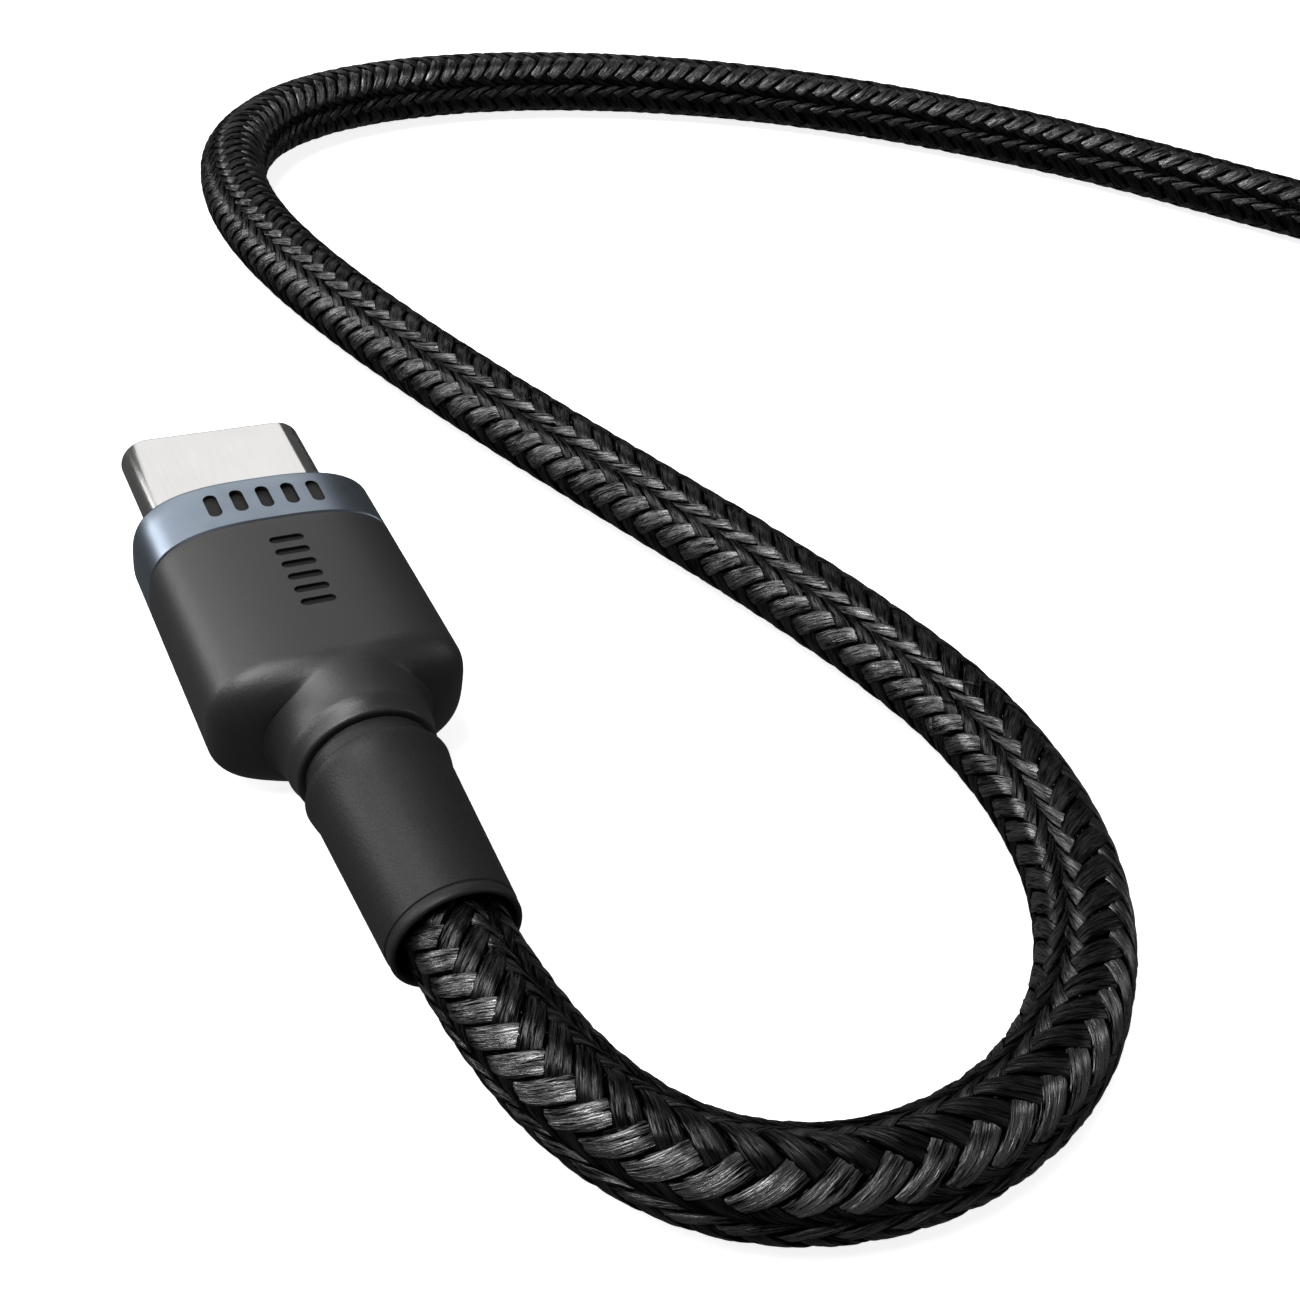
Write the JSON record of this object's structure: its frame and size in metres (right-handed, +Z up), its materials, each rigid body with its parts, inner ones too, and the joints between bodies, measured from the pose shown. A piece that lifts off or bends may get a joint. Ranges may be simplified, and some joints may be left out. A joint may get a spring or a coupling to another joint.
{
  "type": "charging cable",
  "caption": "Braided charging cable with a flat reversible plug at each end, lying in a free loop with its spare length wound in a tied coil.",
  "frame": {"origin": "the middle of the near plug's footprint, on the surface that the cable lies on", "axes": "+Y along the near plug towards its tip, +Z up, +X across the near plug to its right"},
  "size_m": [0.1268, 0.1269, 0.0103],
  "materials": {
    "polished_steel": "polished, nickel plated",
    "contact_gold": "gold plated",
    "blue_anodised": "satin blue-grey anodised",
    "dark_moulding": "soft-touch, fine matt grain",
    "black_plastic": "moulded",
    "white_plastic": "moulded",
    "green_board": "solder mask",
    "ceramic_chip": "fired ceramic",
    "red_plastic": "wire insulation",
    "blue_plastic": "wire insulation",
    "green_plastic": "wire insulation",
    "braid": "glossy black nylon braid",
    "strap": "hook and loop"
  },
  "bodies": {
    "cable": {"near_shell": "polished_steel", "near_contact_housing": "black_plastic", "near_contact_wafer": "black_plastic", "near_upper_contacts": "contact_gold", "near_lower_contacts": "contact_gold", "near_upper_ground_spring": "polished_steel", "near_lower_ground_spring": "polished_steel", "near_paddle_card": "green_board", "near_marker_chip": "black_plastic", "near_capacitor": "ceramic_chip", "near_upper_shield_cover": "polished_steel", "near_lower_shield_cover": "polished_steel", "near_inner_mould": "white_plastic", "near_power_wire": "red_plastic", "near_ground_wire": "black_plastic", "near_configuration_wire": "blue_plastic", "near_data_plus_wire": "green_plastic", "near_data_minus_wire": "white_plastic", "near_collar": "blue_anodised", "near_body": "dark_moulding", "near_strain_relief": "dark_moulding", "near_crimp_ferrule": "polished_steel", "far_shell": "polished_steel", "far_contact_housing": "black_plastic", "far_contact_wafer": "black_plastic", "far_upper_contacts": "contact_gold", "far_lower_contacts": "contact_gold", "far_upper_ground_spring": "polished_steel", "far_lower_ground_spring": "polished_steel", "far_paddle_card": "green_board", "far_marker_chip": "black_plastic", "far_capacitor": "ceramic_chip", "far_upper_shield_cover": "polished_steel", "far_lower_shield_cover": "polished_steel", "far_inner_mould": "white_plastic", "far_power_wire": "red_plastic", "far_ground_wire": "black_plastic", "far_configuration_wire": "blue_plastic", "far_data_plus_wire": "green_plastic", "far_data_minus_wire": "white_plastic", "far_collar": "blue_anodised", "far_body": "dark_moulding", "far_strain_relief": "dark_moulding", "far_crimp_ferrule": "polished_steel", "cord": "braid", "cord_coil": "braid", "cord_far_end": "braid", "cord_tie": "strap"},
    "near_left_latch": {"near_left_latch": "polished_steel"},
    "near_right_latch": {"near_right_latch": "polished_steel"},
    "far_left_latch": {"far_left_latch": "polished_steel"},
    "far_right_latch": {"far_right_latch": "polished_steel"}
  },
  "joints": [
    {"name": "near_left_latch_flex", "type": "hinge", "parent": "cable", "child": "near_left_latch", "pos_m": [-0.00336, 0.00847, 0.0032], "axis": [0, 0, 1], "range_deg": [0, 3], "stiffness_Nm_per_rad": 0.02},
    {"name": "near_right_latch_flex", "type": "hinge", "parent": "cable", "child": "near_right_latch", "pos_m": [0.00336, 0.00847, 0.0032], "axis": [0, 0, -1], "range_deg": [0, 3], "stiffness_Nm_per_rad": 0.02},
    {"name": "far_left_latch_flex", "type": "hinge", "parent": "cable", "child": "far_left_latch", "pos_m": [0.10937, -0.06278, 0.0032], "axis": [0, 0, 1], "range_deg": [0, 3], "stiffness_Nm_per_rad": 0.02},
    {"name": "far_right_latch_flex", "type": "hinge", "parent": "cable", "child": "far_right_latch", "pos_m": [0.10323, -0.06005, 0.0032], "axis": [0, 0, -1], "range_deg": [0, 3], "stiffness_Nm_per_rad": 0.02}
  ]
}
